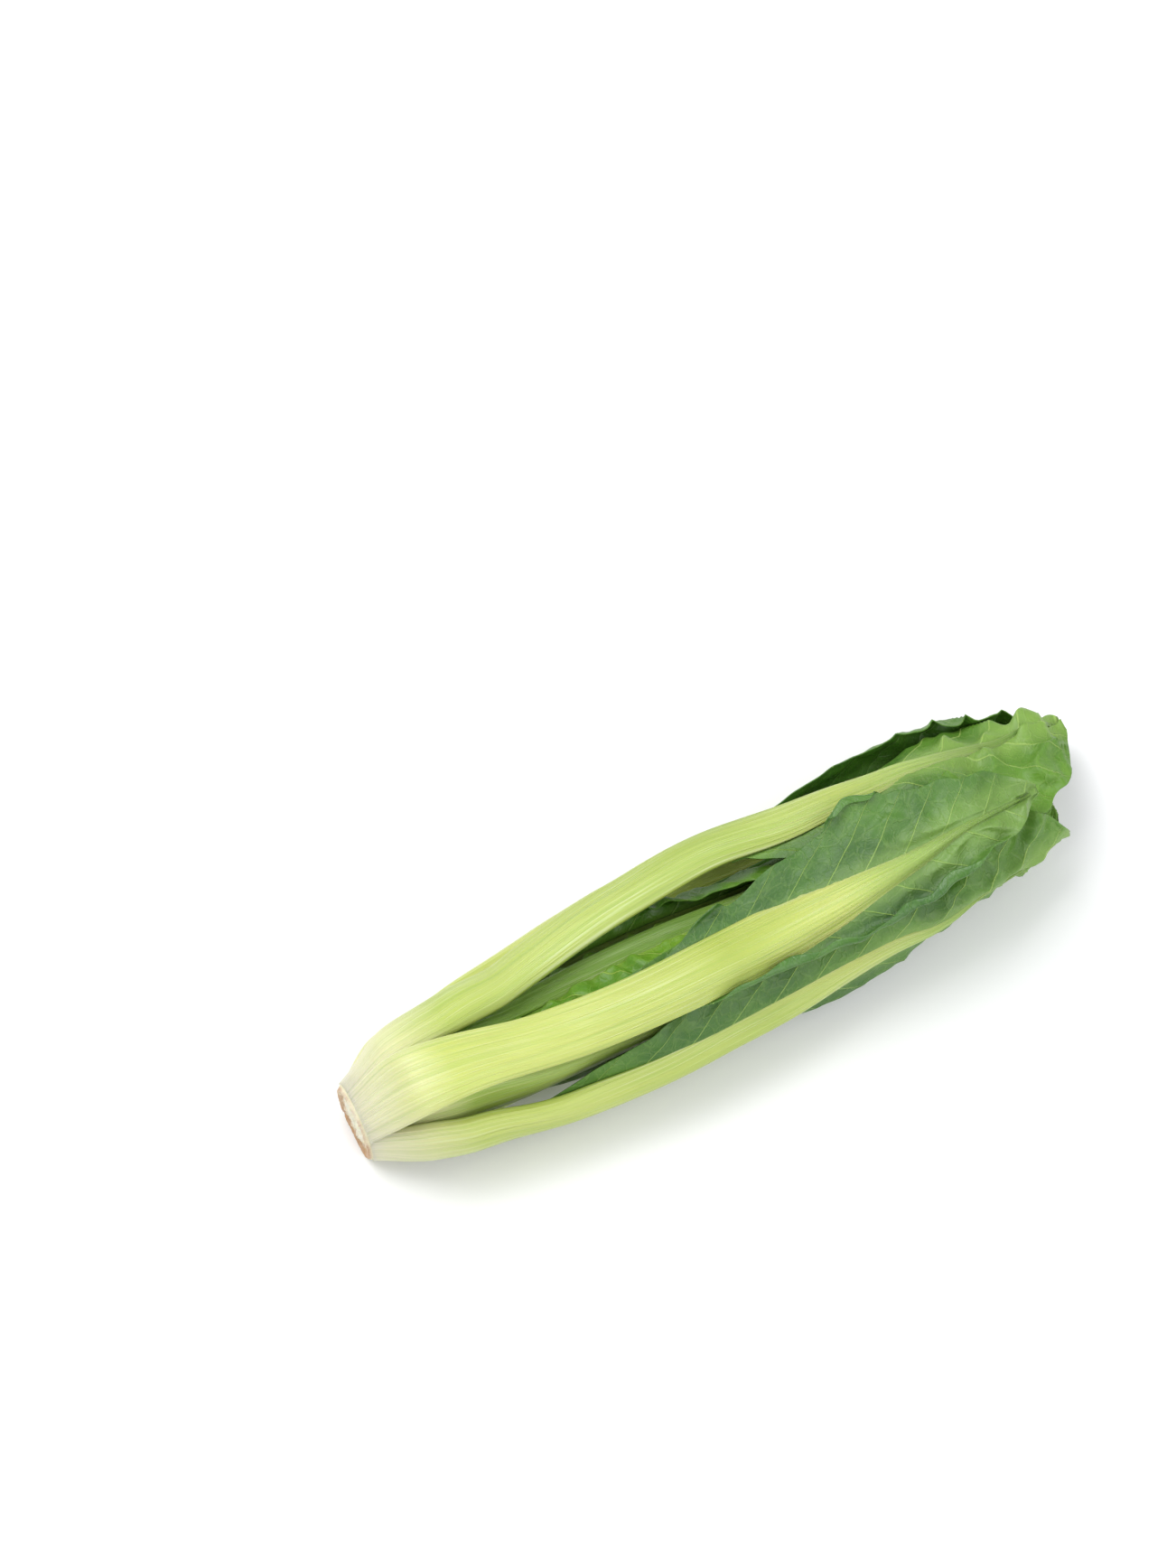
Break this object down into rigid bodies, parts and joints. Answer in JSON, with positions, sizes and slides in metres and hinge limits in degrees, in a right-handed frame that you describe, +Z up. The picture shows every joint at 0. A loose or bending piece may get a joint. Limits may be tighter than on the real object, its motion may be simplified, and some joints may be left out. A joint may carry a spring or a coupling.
{
  "type": "japanese mustard spinach",
  "caption": "Head of leafy greens lying on its side: broad pale ribbed stalks set in a spiral round a trimmed stem base, opening into dark green blades with waved edges.",
  "frame": {"origin": "middle of the underside of the head's box, on the surface that it lies on", "axes": "+X from the cut stem base to the leaf tips, +Y across the head, +Z up"},
  "size_m": [0.292, 0.0838, 0.059],
  "materials": {
    "stem_cream": "cut plant stem, cream white, browning at the cut",
    "stalk_green": "crisp ribbed leaf stalk, pale at the foot, yellow-green above, waxy sheen",
    "blade_green": "leaf blade, dark green above, greyer below, with pale veins",
    "heart_stalk": "young leaf stalk, pale yellow-green",
    "heart_blade": "young leaf blade, bright green"
  },
  "bodies": {
    "root": {"stem_base": "stem_cream", "stalk_1": "stalk_green", "blade_1": "blade_green", "stalk_2": "stalk_green", "blade_2": "blade_green", "stalk_3": "stalk_green", "blade_3": "blade_green", "stalk_4": "stalk_green", "blade_4": "blade_green", "stalk_5": "stalk_green", "blade_5": "blade_green", "stalk_6": "stalk_green", "blade_6": "blade_green", "stalk_7": "stalk_green", "blade_7": "blade_green", "stalk_8": "stalk_green", "blade_8": "blade_green", "stalk_9": "stalk_green", "blade_9": "blade_green", "heart_stalk_1": "heart_stalk", "heart_blade_1": "heart_blade", "heart_stalk_2": "heart_stalk", "heart_blade_2": "heart_blade"}
  },
  "joints": []
}
